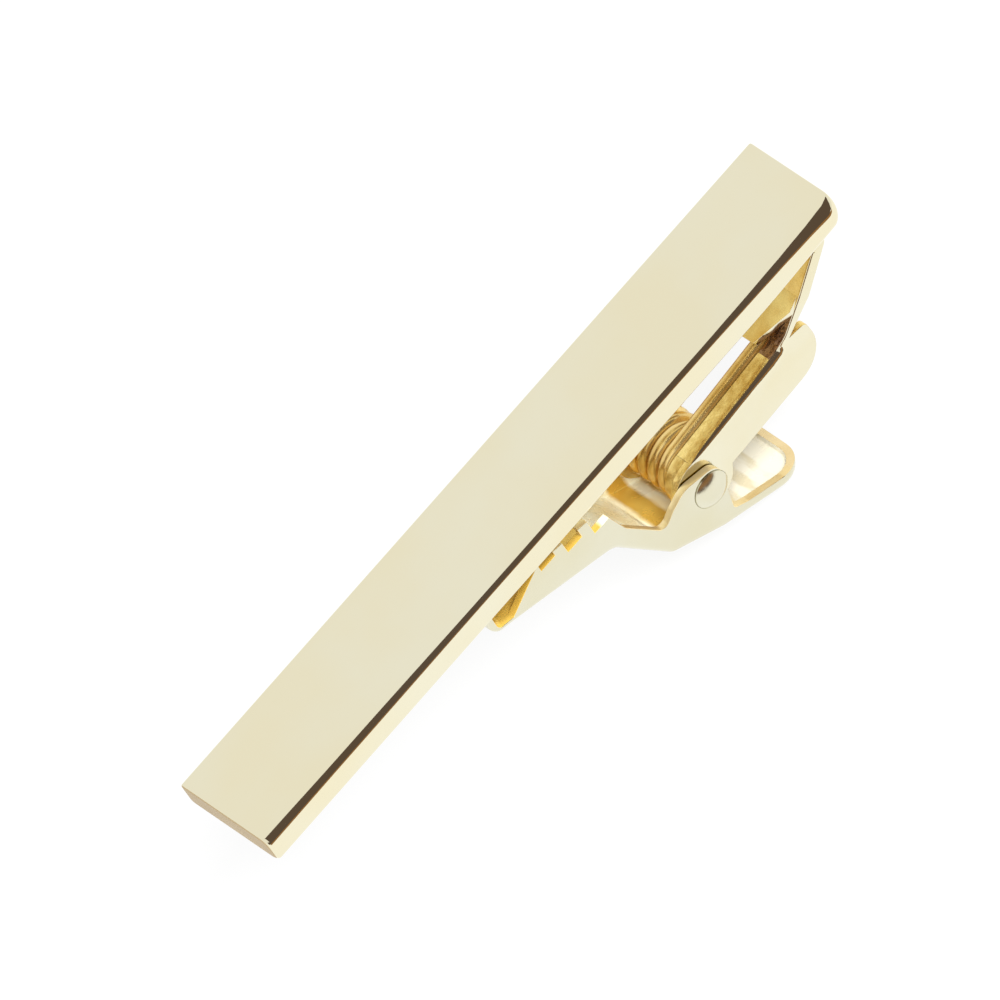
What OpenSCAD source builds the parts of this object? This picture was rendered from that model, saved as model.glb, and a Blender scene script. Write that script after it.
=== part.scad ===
// Tie clip: a flat polished bar with a sprung jaw hinged behind it.
// X runs along the bar toward the end that carries the arm, Y across it, Z out of its front.
// The origin is the middle of the bar's flat back, so the mechanism lies below zero.
// All lengths are in millimetres and all angles in degrees.

/* [Front bar] */
// Length of the bar
bar_l = 41.7; // [36:0.1:60]
// Width of the bar
bar_w = 6.3; // [5.6:0.1:10]
// Thickness of the bar
bar_t = 1.7; // [1.2:0.1:3]
// Rounding of the long front edge on the lower side
near_front_r = 0.35; // [0.1:0.05:0.6]
// Rounding of the other front edges
front_r = 0.15; // [0.1:0.05:0.5]
// Rounding of the back edges
back_r = 0.3; // [0.1:0.05:0.5]
// Rounding of the back edge at the arm's end
arm_end_r = 0.9; // [0.3:0.05:1.1]
// Rounding of the two corners on the lower side
near_corner_r = 0.5; // [0.1:0.05:0.8]
// Rounding of the two corners on the upper side
far_corner_r = 0.2; // [0.1:0.05:0.8]

/* [Hinge] */
// Distance of the hinge from the bar's end
hinge_in = 13.36; // [12:0.1:16]
// Depth of the hinge below the bar's back
hinge_drop = 6.54; // [6:0.1:8]
// Radius of the rivet's shank
pin_r = 0.6; // [0.4:0.05:0.7]
// Radius of the rivet's head
head_r = 1.05; // [0.9:0.05:1.3]
// Height of the rivet's domed head
head_h = 0.34; // [0.2:0.02:0.6]
// Radius of the rivet's closed end
peen_r = 0.9; // [0.8:0.05:1.2]
// Height of the rivet's closed end
peen_h = 0.3; // [0.15:0.02:0.5]
// Clearance between the shank and a bore
pin_gap = 0.03; // [0.02:0.01:0.08]
// Side clearance between the jaw, the arm and the heads
side_gap = 0.05; // [0.03:0.01:0.1]
// How far the clip's mechanism sits off the bar's middle, toward the upper side
mech_shift = 0.15; // [0:0.05:0.3]

/* [Fixed arm] */
// Thickness of the sheet that the arm and the jaw are stamped from
sheet_t = 0.42; // [0.3:0.02:0.5]
// Width over the arm's two side walls
arm_w = 4.76; // [4.2:0.02:5.2]
// Length of the foot that is brazed to the bar
foot_l = 2.6; // [1.8:0.1:3.4]
// Distance of the foot's bend from the bar's end
foot_in = 0.66; // [0.5:0.02:1]
// Radius of that bend, at the middle of the sheet
foot_bend_r = 0.42; // [0.36:0.02:0.6]
// Slope of the leg that carries the arm away from the bar
leg_slope = 40.3; // [36:0.5:46]
// Radius of the bend between the leg and the tongue, on the outer face
shoulder_r = 0.6; // [0.45:0.05:0.9]
// Slope of the tongue that holds the spring's upper leg
tongue_slope = 20; // [14:1:24]
// Length of the tongue along the bar
tongue_l = 3.05; // [2.4:0.05:3.4]
// Width of the tongue at its tip
tongue_tip_w = 2.66; // [1.6:0.02:2.8]
// Width of the web's strip beside the spring's window on the lower side, as a share of the arm's width
near_rail_share = 0.32; // [0.28:0.005:0.35]
// Width of the strip on the upper side, as a share of the arm's width
far_rail_share = 0.15; // [0.13:0.005:0.18]
// Outer radius of the web where it curls round the hinge
curl_r = 1.7; // [1.5:0.02:1.8]
// Angle that the web's curl runs round the hinge
curl_angle = 110; // [60:5:140]

/* [Jaw] */
// Length of the jaw from the hinge to the nose
jaw_reach = 12.99; // [11:0.1:15]
// Length of the thumb tab beyond the hinge
tab_reach = 4.6; // [4:0.1:5.6]
// Depth of the jaw's bottom corner below the hinge
floor_drop = 1.36; // [1.3:0.05:2]
// Radius of the upturned nose
nose_r = 0.85; // [0.6:0.05:1.1]
// Radius of the jaw's bend before the teeth
kink_r = 1.2; // [0.6:0.05:1.6]
// Radius of the jaw's other bends
jaw_bend_r = 0.8; // [0.45:0.05:0.9]
// Radius of the ear round the hinge
ear_r = 1.36; // [1.2:0.02:1.6]
// Distance from one tooth to the next
tooth_pitch = 1.63; // [1.4:0.05:1.8]
// Length of the gap between two teeth
notch_l = 1; // [0.7:0.05:1.2]
// Depth of the gap between two teeth
notch_d = 0.55; // [0.3:0.05:0.6]
// Number of gaps between the teeth
notches = 3; // [1:1:3]
// Slope of the line of the tooth tops
tooth_slope = 11.5; // [8:0.5:14]
// Slope of the line of the gaps between the teeth
notch_slope = 19.8; // [16:0.5:22]
// Slope of the thumb tab
tab_slope = 21.7; // [16:0.5:26]
// Height of the thumb tab's raised rim, from the outer face
rim_h = 0.78; // [0.6:0.02:1]
// Corner radius of the thumb tab
tab_corner_r = 1.7; // [1:0.05:2.2]

/* [Torsion spring] */
// Thickness of the spring's wire
wire_d = 0.4; // [0.3:0.01:0.42]
// Radius of the coil at the middle of the wire
coil_r = 1.45; // [1.35:0.01:1.5]
// Room between the coil's far end and the arm's wall
coil_room = 0.3; // [0:0.05:0.4]
// Play of the coil round the rivet
coil_play = 0.3; // [0:0.05:0.4]
// Whole turns of the coil
coil_turns = 2; // [1:1:2]
// Slope of the upper leg
leg_1_slope = 5.6; // [4:0.2:6]
// Length of the upper leg
leg_1_l = 7.4; // [6.6:0.1:7.6]
// Slope of the lower leg
leg_2_slope = 40; // [36:1:42]
// Length of the lower leg
leg_2_l = 3.6; // [2.4:0.1:3.6]

/* [Hidden] */
gold = "#e8dfb0";
spring_gold = "#c89a3c";

// How far a cut runs past the face that it opens
overrun = 1;
arc_steps = 8;
round_sides = 48;

hinge_x = bar_l / 2 - hinge_in;
hinge = [hinge_x, -hinge_drop];
jaw_depth = hinge_drop + floor_drop;

// Half widths, from the arm outward to the rivet's heads
arm_out = arm_w / 2;
arm_in = arm_out - sheet_t;
jaw_in = arm_out + side_gap;
jaw_out = jaw_in + sheet_t;
window_near = near_rail_share * arm_w - arm_out;
window_far = arm_out - far_rail_share * arm_w;

// Plane vectors, with the second number up
function unit(v) = v / norm(v);
function left_of(v) = [-v[1], v[0]];
function turned(v, angle) = [v[0] * cos(angle) - v[1] * sin(angle), v[0] * sin(angle) + v[1] * cos(angle)];
function polar(angle) = [cos(angle), sin(angle)];
function bend_angle(u, v) = atan2(u[0] * v[1] - u[1] * v[0], u * v);
function reversed(list) = [for (i = [len(list) - 1 : -1 : 0]) list[i]];

// The corner at b between a and c, rounded to radius r
function corner(a, b, c, r) =
    let (u = unit(b - a), v = unit(c - b), bend = bend_angle(u, v), side = sign(bend))
    let (spoke = side * r * left_of(u), centre = b - u * r * tan(abs(bend) / 2) + spoke)
    r == 0 ? [b] : [for (k = [0 : arc_steps]) centre + turned(-spoke, bend * k / arc_steps)];

// An open path and a closed outline, each with its corners rounded
function rounded_path(points, radii) = [
    points[0],
    for (i = [1 : len(points) - 2]) each corner(points[i - 1], points[i], points[i + 1], radii[i - 1]),
    points[len(points) - 1]
];
function rounded_outline(points, radii) = let (n = len(points)) [
    for (i = [0 : n - 1]) each corner(points[(i + n - 1) % n], points[i], points[(i + 1) % n], radii[i])
];

// The line at a set distance to the left of a path
function side_step(u, v, off) = off * (left_of(u) + left_of(v)) / (1 + u * v);
function side_line(path, off) = let (n = len(path)) [
    for (i = [0 : n - 1])
        let (u = unit(path[max(i, 1)] - path[max(i, 1) - 1]))
        let (v = unit(path[min(i, n - 2) + 1] - path[min(i, n - 2)]))
        path[i] + side_step(u, v, off)
];
// The outline of a sheet that lies to the left of a path
function sheet_outline(path, t) = concat(path, reversed(side_line(path, t)));

// A flat outline in X and Z, made solid from y0 to y1
module across(y0, y1) {
    translate([0, y1, 0])
        rotate([90, 0, 0])
            linear_extrude(height = y1 - y0)
                children();
}
// What is hung behind the bar, set off from the bar's middle
module set_off() {
    translate([0, mech_shift, 0]) children();
}
// The same on both sides of the middle
module both_sides(y0, y1) {
    across(-y1, -y0) children();
    across(y0, y1) children();
}

// Front bar

module front_bar() {
    half_l = bar_l / 2;
    half_w = bar_w / 2;
    end_outline = rounded_outline(
        [[-half_w, 0], [half_w, 0], [half_w, bar_t], [-half_w, bar_t]],
        [back_r, back_r, front_r, near_front_r]);
    side_outline = rounded_outline(
        [[-half_l, 0], [half_l, 0], [half_l, bar_t], [-half_l, bar_t]],
        [back_r, arm_end_r, front_r, front_r]);
    plan_outline = rounded_outline(
        [[-half_l, -half_w], [half_l, -half_w], [half_l, half_w], [-half_l, half_w]],
        [near_corner_r, near_corner_r, far_corner_r, far_corner_r]);
    color(gold)
        intersection() {
            translate([-half_l, 0, 0])
                rotate([90, 0, 90])
                    linear_extrude(height = bar_l)
                        polygon(end_outline);
            across(-half_w, half_w) polygon(side_outline);
            linear_extrude(height = bar_t) polygon(plan_outline);
        }
}

// Fixed arm

// Places along the arm: shares of the hinge's distance from the bar's end and of its depth
function arm_at(x_share, z_share) = [hinge_x + x_share * hinge_in, -z_share * hinge_drop];

foot_corner = [bar_l / 2 - foot_in, 0];
leg_down = -[cos(leg_slope), sin(leg_slope)];
tongue_down = -[cos(tongue_slope), sin(tongue_slope)];
shoulder_share = 0.408;
shoulder_drop = shoulder_share * hinge_drop;
shoulder = foot_corner + leg_down * shoulder_drop / sin(leg_slope);
tongue_tip = shoulder + tongue_down * tongue_l / cos(tongue_slope);
// The same two places on the face toward the bar
inner_heel = foot_corner - [sheet_t / sin(leg_slope), 0];
inner_shoulder = shoulder - side_step(leg_down, tongue_down, sheet_t);
// The sheet's outer face, from the foot's inner end round its bend to the tongue's tip
leg_path = rounded_path(
    [foot_corner - [foot_l, 0], foot_corner, shoulder, tongue_tip],
    [foot_bend_r + sheet_t / 2, shoulder_r]);

// The web beside the tongue: its upper face runs down from the leg, along the arm and round the hinge
web_knee = arm_at(0.521, 0.619);
rail_start = arm_at(0.4716, 0.6346);
curl_shift_share = 0.09;
curl_centre = hinge + curl_r * curl_shift_share * [1, 1];
to_rail = rail_start - curl_centre;
curl_start = atan2(to_rail[1], to_rail[0]) + acos(curl_r / norm(to_rail));
web_path = concat(
    [inner_shoulder, web_knee, rail_start],
    [for (k = [0 : 2 * arc_steps]) curl_centre + curl_r * polar(curl_start + curl_angle * k / (2 * arc_steps))]);
curl_first = web_path[3];
far_end_share = 0.66;
far_end = rail_start + (curl_first - rail_start) * far_end_share;

// Corners of the side wall that have a place of their own
wall_heel = arm_at(0.905, 0);
wall_heel_low = arm_at(0.895, 0.14);
notch_top = arm_at(0.727, 0.436);
notch_shoulder_share = 0.644;
notch_bottom = arm_at(notch_shoulder_share, 0.521);
crease_tip = arm_at(0.582, 0.589);
wall_shoulder = arm_at(0.658, 0.615);
wall_corner = arm_at(0.667, 1.0275);
wall_meets_ear = arm_at(0.133, 1.08);
wall_corner_share = 0.28;
wall_heel_share = 0.09;
wall_outline = rounded_outline(
    [
        inner_heel, wall_heel, wall_heel_low,
        notch_top, notch_bottom, crease_tip, wall_shoulder, wall_corner,
        wall_meets_ear, hinge, curl_first, rail_start, web_knee, inner_shoulder
    ],
    [
        0, 0, wall_heel_share * hinge_drop,
        0, 0, 0, wall_heel_share * hinge_drop / 2, wall_corner_share * hinge_drop,
        0, 0, 0, 0, 0, 0
    ]);

module arm_wall() {
    difference() {
        union() {
            polygon(wall_outline);
            translate(hinge) circle(r = norm(wall_meets_ear - hinge), $fn = round_sides);
        }
        translate(hinge) circle(r = pin_r + pin_gap, $fn = round_sides);
    }
}

// Seen from the front: the leg's full width, then the tongue that narrows to its tip
module leg_plan() {
    shoulder_x = arm_at(notch_shoulder_share, 0)[0];
    polygon([
        [bar_l / 2, -arm_out], [bar_l / 2, arm_out],
        [shoulder_x, arm_out], [tongue_tip[0], tongue_tip_w / 2],
        [tongue_tip[0] - sheet_t, tongue_tip_w / 2], [tongue_tip[0] - sheet_t, -tongue_tip_w / 2],
        [tongue_tip[0], -tongue_tip_w / 2], [shoulder_x, -arm_out]
    ]);
}

module fixed_arm() {
    color(gold)
        union() {
            both_sides(arm_in, arm_out) arm_wall();
            intersection() {
                across(-arm_out, arm_out) polygon(sheet_outline(leg_path, -sheet_t));
                translate([0, 0, -hinge_drop])
                    linear_extrude(height = hinge_drop + overrun)
                        leg_plan();
            }
            across(-arm_out, window_near) polygon(sheet_outline(web_path, sheet_t));
            across(window_far, arm_out)
                polygon(sheet_outline([inner_shoulder, web_knee, rail_start, far_end], sheet_t));
        }
}

// Jaw

// Places on the jaw: shares of its reach before the hinge and of its depth
function jaw_at(x_share, z_share) = [hinge_x - x_share * jaw_reach, -z_share * jaw_depth];

nose_top = jaw_at(0.998, 0);
nose_corner = jaw_at(1, 0.21);
jaw_kink = jaw_at(0.434, 0.523);
jaw_bottom = jaw_at(0.261, 1);
tab_bend = jaw_at(0.04, 1.206);
tab_end_x = hinge_x + tab_reach;
tab_end = [tab_end_x, tab_bend[1] - (tab_end_x - tab_bend[0]) * tan(tab_slope)];
// The sheet's outer face, from the nose's upturned edge to the tab's end
floor_path = rounded_path(
    [nose_top, nose_corner, jaw_kink, jaw_bottom, tab_bend, tab_end],
    [nose_r, kink_r, jaw_bend_r, jaw_bend_r]);

// The teeth on each wall: the tops lie on one slope and the gaps between them on a steeper one
first_notch = jaw_at(0.711, 0.032);
function tooth_top(x) = [x, first_notch[1] - (x - first_notch[0]) * tan(tooth_slope)];
function notch_at(k) = first_notch[0] + k * tooth_pitch;
function notch_floor(k) = first_notch[1] - notch_d - k * tooth_pitch * tan(notch_slope);
teeth = [
    for (k = [0 : notches - 1]) each [
        tooth_top(notch_at(k)),
        [notch_at(k), notch_floor(k)],
        [notch_at(k) + notch_l, notch_floor(k)],
        if (k < notches - 1) tooth_top(notch_at(k) + notch_l)
    ]
];

// The wall from the nose over the teeth and the ear, and back along the floor
wall_foot = jaw_at(0.957, 0.225);
wall_slope_foot = jaw_at(0.353, 0.45);
wall_valley = jaw_at(0.235, 0.765);
// The ear's corners and the wall's root behind it, in shares of the ear's radius from the hinge
ear_point_shares = [[-1.62, 0.78], [-0.85, 1.1], [0.8, 0.68]];
ear_points = [for (share = ear_point_shares) hinge + ear_r * share];
ear_radii_shares = [0.3, 0.6, 0.4];
wall_root_share = [0.3, -1.75];
wall_root = hinge + ear_r * wall_root_share;
valley_r_share = 0.4;
jaw_outline = rounded_outline(
    concat(
        [wall_foot],
        teeth,
        [wall_slope_foot, wall_valley],
        ear_points,
        [wall_root, tab_bend, jaw_bottom, jaw_kink]),
    concat(
        [0],
        [for (point = teeth) 0],
        [jaw_bend_r, jaw_bend_r * valley_r_share],
        ear_radii_shares * ear_r,
        [0, 0, jaw_bend_r, kink_r]));

// Seen from the front: the floor with its rounded nose and thumb tab
module jaw_plan() {
    nose_x = hinge_x - jaw_reach;
    polygon(rounded_outline(
        [[nose_x, -jaw_out], [tab_end_x, -jaw_out], [tab_end_x, jaw_out], [nose_x, jaw_out]],
        [sheet_t, tab_corner_r, tab_corner_r, sheet_t]));
}
module jaw_height() {
    translate([0, 0, -2 * jaw_depth])
        linear_extrude(height = 2 * jaw_depth + overrun)
            children();
}

module jaw_wall() {
    difference() {
        polygon(jaw_outline);
        translate(hinge) circle(r = pin_r + pin_gap, $fn = round_sides);
    }
}

module jaw() {
    color(gold)
        union() {
            both_sides(jaw_in, jaw_out) jaw_wall();
            intersection() {
                across(-jaw_out, jaw_out) polygon(sheet_outline(floor_path, sheet_t));
                jaw_height() jaw_plan();
            }
            intersection() {
                across(-jaw_out, jaw_out) polygon(sheet_outline([tab_bend, tab_end], rim_h));
                jaw_height()
                    difference() {
                        jaw_plan();
                        offset(delta = -sheet_t) jaw_plan();
                    }
            }
        }
}

// Torsion spring

// The coil lies off the rivet's axis, as far as its legs push it
coil_shift_share = 0.33;
coil_centre = hinge + coil_play * [1, coil_shift_share];
coil_near = window_near + side_gap + wire_d / 2;
coil_far = arm_in - side_gap - wire_d / 2 - coil_room;
leg_1_angle = 90 + leg_1_slope;
leg_2_angle = 270 - leg_2_slope;
coil_angle = 360 * coil_turns + leg_2_angle - leg_1_angle;
turn_rings = 24;
coil_rings = round(coil_angle / 360 * turn_rings);
leg_rings = 10;
wire_sides = 6;

// Each place on the wire: its distance along the bar, across it and up, and its angle round the coil
function leg_1_place(k) =
    let (spot = coil_centre + coil_r * polar(leg_1_angle))
    let (end = spot + leg_1_l * (1 - k / leg_rings) * polar(leg_1_slope))
    [end[0], coil_near, end[1], leg_1_angle];
function coil_place(k) =
    let (angle = leg_1_angle + coil_angle * k / coil_rings)
    let (spot = coil_centre + coil_r * polar(angle))
    [spot[0], coil_near + (coil_far - coil_near) * k / coil_rings, spot[1], angle];
function leg_2_place(k) =
    let (spot = coil_centre + coil_r * polar(leg_2_angle))
    let (end = spot + leg_2_l * k / leg_rings * polar(-leg_2_slope))
    [end[0], coil_far, end[1], leg_2_angle];
wire_places = concat(
    [for (k = [0 : leg_rings - 1]) leg_1_place(k)],
    [for (k = [0 : coil_rings]) coil_place(k)],
    [for (k = [1 : leg_rings]) leg_2_place(k)]);

function wire_ring(place) = [
    for (k = [0 : wire_sides - 1])
        let (across_wire = wire_d / 2 * polar(360 * k / wire_sides))
        [
            place[0] + across_wire[0] * cos(place[3]),
            place[1] + across_wire[1],
            place[2] + across_wire[0] * sin(place[3])
        ]
];

// The least gap between two stretches of the wire that are half a turn or more apart
function wire_spot(place) = [place[0], place[1], place[2]];
least_gap = min([
    for (i = [0 : len(wire_places) - 1], j = [0 : len(wire_places) - 1])
        if (j - i > turn_rings / 2) norm(wire_spot(wire_places[i]) - wire_spot(wire_places[j]))
]) - wire_d;
echo(least_gap_between_turns = least_gap);

module torsion_spring() {
    rings = len(wire_places);
    side_faces = [
        for (i = [0 : rings - 2], k = [0 : wire_sides - 1])
            let (a = i * wire_sides + k, b = i * wire_sides + (k + 1) % wire_sides)
            each [[a, a + wire_sides, b], [b, a + wire_sides, b + wire_sides]]
    ];
    first_face = [for (k = [1 : wire_sides - 2]) [0, k, k + 1]];
    last = (rings - 1) * wire_sides;
    last_face = [for (k = [1 : wire_sides - 2]) [last, last + k + 1, last + k]];
    color(spring_gold)
        polyhedron(
            points = [for (place = wire_places) each wire_ring(place)],
            faces = concat(first_face, side_faces, last_face));
}

// Pivot rivet

// One rounded end: the quarter outline from the rim of the head to its crown
function dome(radius, height, base) = [
    for (k = [0 : arc_steps])
        let (angle = 90 * k / arc_steps)
        [radius * cos(angle), base + height * sin(angle)]
];

module pivot_rivet() {
    grip = jaw_out + side_gap;
    outline = concat(
        [[pin_r, -grip], [pin_r, grip]],
        dome(head_r, head_h, grip),
        reversed([for (point = dome(peen_r, peen_h, grip)) [point[0], -point[1]]]));
    color(gold)
        translate([hinge_x, 0, -hinge_drop])
            rotate([90, 0, 0])
                rotate_extrude($fn = round_sides)
                    polygon(outline);
}

front_bar();
set_off() fixed_arm();
set_off() jaw();
set_off() torsion_spring();
set_off() pivot_rivet();
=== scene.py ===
import math

import bmesh
import bpy
from mathutils import Matrix, Vector
from mathutils.geometry import tessellate_polygon


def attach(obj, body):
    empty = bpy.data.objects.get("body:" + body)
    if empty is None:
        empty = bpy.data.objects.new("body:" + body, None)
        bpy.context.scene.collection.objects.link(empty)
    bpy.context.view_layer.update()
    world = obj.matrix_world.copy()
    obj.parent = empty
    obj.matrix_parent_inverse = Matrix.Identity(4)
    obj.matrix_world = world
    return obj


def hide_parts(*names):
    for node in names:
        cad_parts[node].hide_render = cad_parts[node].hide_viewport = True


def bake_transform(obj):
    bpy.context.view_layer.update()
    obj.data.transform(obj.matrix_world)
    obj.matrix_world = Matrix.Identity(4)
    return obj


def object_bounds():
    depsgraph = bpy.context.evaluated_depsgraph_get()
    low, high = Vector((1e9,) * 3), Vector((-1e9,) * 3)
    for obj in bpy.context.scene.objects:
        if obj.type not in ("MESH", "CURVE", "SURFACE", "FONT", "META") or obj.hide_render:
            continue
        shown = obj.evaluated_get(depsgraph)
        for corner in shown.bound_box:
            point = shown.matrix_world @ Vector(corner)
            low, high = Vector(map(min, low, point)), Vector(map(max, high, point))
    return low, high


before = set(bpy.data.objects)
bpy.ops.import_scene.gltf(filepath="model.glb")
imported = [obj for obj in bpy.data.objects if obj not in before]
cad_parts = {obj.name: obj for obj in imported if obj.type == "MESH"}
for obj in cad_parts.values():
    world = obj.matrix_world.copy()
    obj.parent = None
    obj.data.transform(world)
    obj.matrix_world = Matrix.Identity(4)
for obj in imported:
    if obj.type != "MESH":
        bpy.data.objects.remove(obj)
cad_low, cad_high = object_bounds()

# Lengths are in millimetres, up to where they are multiplied by MM, and angles in degrees
MM = 0.001

# Thickness of the stamped sheet, and the least radius on the inside of a fold
SHEET = 0.42
LEAST_R = 0.04
# How far the mechanism lies off the bar's middle, toward the far side
SET_OFF = 0.15
# The hinge's place along the bar and up
HINGE = Vector((7.49, -6.54))
ARM_HALF_W, JAW_HALF_W = 2.38, 2.85


# Camera: the photograph's viewing angle, from a long way off, as its parallel edges show

def add_camera():
    right = Vector((0.653, -0.663, -0.366)).normalized()
    up = Vector((0.738, 0.447, 0.5055))
    up = (up - right * up.dot(right)).normalized()
    back = right.cross(up)
    target = Vector((-0.327, 0.894, 0.648)) * MM
    distance, seen_width, sensor_width = 2.0, 47.78 * MM, 36
    data = bpy.data.cameras.new("Camera")
    data.sensor_width = sensor_width
    data.lens = sensor_width * distance / seen_width
    data.clip_start, data.clip_end = 0.01, 20
    camera = bpy.data.objects.new("Camera", data)
    bpy.context.scene.collection.objects.link(camera)
    spot = target + back * distance
    camera.matrix_world = Matrix((
        (right.x, up.x, back.x, spot.x),
        (right.y, up.y, back.y, spot.y),
        (right.z, up.z, back.z, spot.z),
        (0, 0, 0, 1)))
    bpy.context.scene.camera = camera


add_camera()
bpy.context.scene.view_settings.view_transform = "Standard"


# Node helpers

class Shader:
    """A material's or world's node tree, built by name."""

    def __init__(self, owner):
        owner.use_nodes = True
        self.tree = owner.node_tree
        self.tree.nodes.clear()

    def node(self, kind, **inputs):
        made = self.tree.nodes.new("ShaderNode" + kind)
        for name, value in inputs.items():
            self.put(made, name.replace("_", " "), value)
        return made

    def put(self, made, name, value):
        socket = made.inputs[int(name)] if name.isdigit() else made.inputs[name]
        if isinstance(value, bpy.types.NodeSocket):
            self.tree.links.new(value, socket)
        else:
            socket.default_value = value

    def math(self, operation, a, b=0.0, clamp=False):
        made = self.tree.nodes.new("ShaderNodeMath")
        made.operation, made.use_clamp = operation, clamp
        self.put(made, "0", a)
        self.put(made, "1", b)
        return made.outputs[0]

    def blend(self, factor, a, b):
        """Colour a passing into colour b as the factor goes from zero to one."""
        made = self.tree.nodes.new("ShaderNodeMix")
        made.data_type = "RGBA"
        # a mix node's sockets for the factor and the two colours
        for place, value in ((0, factor), (6, a), (7, b)):
            self.put(made, str(place), value)
        return made.outputs[2]

    def spread(self, value, low, high, to_low=0.0, to_high=1.0):
        """The value's range from low to high, mapped to another range."""
        made = self.node("MapRange")
        for place, item in enumerate((value, low, high, to_low, to_high)):
            self.put(made, str(place), item)
        return made.outputs[0]

    def noise(self, size, detail=2.0, rough=0.5, stretch=(1, 1, 1)):
        """Noise with patches of about the given size."""
        place = self.node("TexCoord").outputs["Object"]
        mapping = self.node("Mapping", Vector=place)
        mapping.inputs["Scale"].default_value = [s / (size * MM) for s in stretch]
        made = self.node("TexNoise", Scale=1.0, Detail=detail, Roughness=rough)
        self.put(made, "Vector", mapping.outputs[0])
        return made.outputs["Fac"]

    def mix(self, share, first, second, output):
        """Two shaders mixed by a share of the second, as what the tree puts out."""
        made = self.node("MixShader")
        for place, value in enumerate((share, first.outputs[0], second.outputs[0])):
            self.put(made, str(place), value)
        self.put(self.node(output), "Surface", made.outputs[0])


def rgb(r, g, b):
    return (r, g, b, 1.0)


def between(sh, value, low, high, soft):
    """One from low to high, fading to nothing over the soft distance."""
    rise = sh.spread(value, (low - soft) * MM, (low + soft) * MM)
    fall = sh.spread(value, (high - soft) * MM, (high + soft) * MM, 1.0, 0.0)
    return sh.math("MULTIPLY", rise, fall)


def jaw_bright(sh):
    """Masks of the painted reflection on the jaw's inside, light bands where its curved floor
    would mirror the white room, by places along the bar.

    The first has two bands across the jaw's bottom and the thumb tab, the second only the tab."""
    wide_band, thin_band, band_soft = (2.0, 4.7), (5.8, 6.45), 0.12
    tab_stretch, tab_soft = (8.2, 14), 0.2
    wobble, wobble_size = 0.1, 1.3
    place = sh.node("SeparateXYZ", Vector=sh.node("TexCoord").outputs["Object"])
    shake = sh.spread(sh.noise(wobble_size, 2), 0.2, 0.8, -wobble * MM, wobble * MM)
    x = sh.math("ADD", place.outputs["X"], shake)
    bands = sh.math(
        "ADD", between(sh, x, *wide_band, band_soft), between(sh, x, *thin_band, band_soft))
    tab = between(sh, x, *tab_stretch, tab_soft)
    return sh.math("ADD", bands, tab, clamp=True), tab


# Where the painted reflection lies the plate is hardly metallic, so that the painted light stays
# light inside the jaw
PAINTED_REFLECTION_METAL = 0.04


def bright_colour(sh, tab):
    """Colour of the painted reflection, in streaks of cream and gold; it is duller on the tab."""
    bands = sh.blend(
        sh.spread(sh.noise(1.1, 3, 0.5, (1, 0.4, 1)), 0.4, 0.62),
        rgb(1.0, 0.98, 0.76), rgb(0.96, 0.85, 0.52))
    thumb = sh.blend(
        sh.spread(sh.noise(0.8, 3, 0.5, (1, 0.3, 1)), 0.45, 0.6),
        rgb(0.76, 0.73, 0.60), rgb(0.62, 0.56, 0.38))
    return sh.blend(tab, bands, thumb)


def gold(name, base, tint, metal=1.0, rough=(0.05, 0.12), wave=0.02, wave_size=2.5,
         grain=0.002, grain_size=0.12, painted_reflection=None):
    """Gold plate: its colour, gloss and surface vary a little.

    The surface has slow waves and a fine grain, each with a height and a size."""
    material = bpy.data.materials.new(name)
    sh = Shader(material)
    largest_patch = 7
    patches = sh.noise(min(largest_patch, wave_size * 2), 3)
    colour = sh.blend(sh.spread(patches, 0.35, 0.65), base, tint)
    surface = sh.node("BsdfPrincipled", Metallic=metal)
    # painted reflection: where the mask says, the colour turns to the painted light and the plate
    # to hardly metallic
    if painted_reflection:
        mask, tab = painted_reflection(sh)
        colour = sh.blend(mask, colour, bright_colour(sh, tab))
        sh.put(surface, "Metallic", sh.spread(mask, 0, 1, metal, PAINTED_REFLECTION_METAL))
    sh.put(surface, "Base Color", colour)
    smears = sh.noise(1.4, 4, 0.6, (0.35, 1, 1))
    sh.put(surface, "Roughness", sh.spread(smears, 0.3, 0.75, rough[0], rough[1]))
    slow = sh.node("Bump", Strength=1.0, Distance=wave * MM)
    sh.put(slow, "Height", sh.noise(wave_size, 1.5))
    fine = sh.node("Bump", Strength=1.0, Distance=grain * MM)
    sh.put(fine, "Height", sh.noise(grain_size, 3))
    sh.put(fine, "Normal", slow.outputs[0])
    sh.put(surface, "Normal", fine.outputs[0])
    sh.put(sh.node("OutputMaterial"), "Surface", surface.outputs[0])
    return material


pale = rgb(0.80, 0.76, 0.58)
bar_gold = gold(
    "bar_gold_plate", pale, rgb(0.80, 0.74, 0.53),
    rough=(0.03, 0.09), wave=0.006, wave_size=9, grain=0.0004)
sheet_gold = gold(
    "sheet_gold_plate", pale, rgb(0.78, 0.72, 0.50), rough=(0.06, 0.16), wave=0.03, wave_size=2.2)
# tan left end faces: painted shade, standing in for the shadowed floor that the end mirrors
end_painted_shade_gold = gold(
    "end_painted_shade_plate", rgb(0.52, 0.40, 0.22), rgb(0.46, 0.34, 0.18), 0.6, (0.4, 0.5), wave_size=2)
jaw_gold = gold(
    "jaw_gold_plate", rgb(0.73, 0.705, 0.55), rgb(0.71, 0.67, 0.48),
    rough=(0.06, 0.16), wave=0.03, wave_size=2.2)
# deep gold for the arm's web and the walls' inside: painted shade and painted reflection of the
# gold round about, on the same pale plate
inner_gold_painted_shade = gold(
    "inner_gold_plate_painted_shade", rgb(0.93, 0.74, 0.30), rgb(0.62, 0.36, 0.06), 0.85, (0.12, 0.28),
    wave=0.045, wave_size=1.1, grain=0.004)
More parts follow.
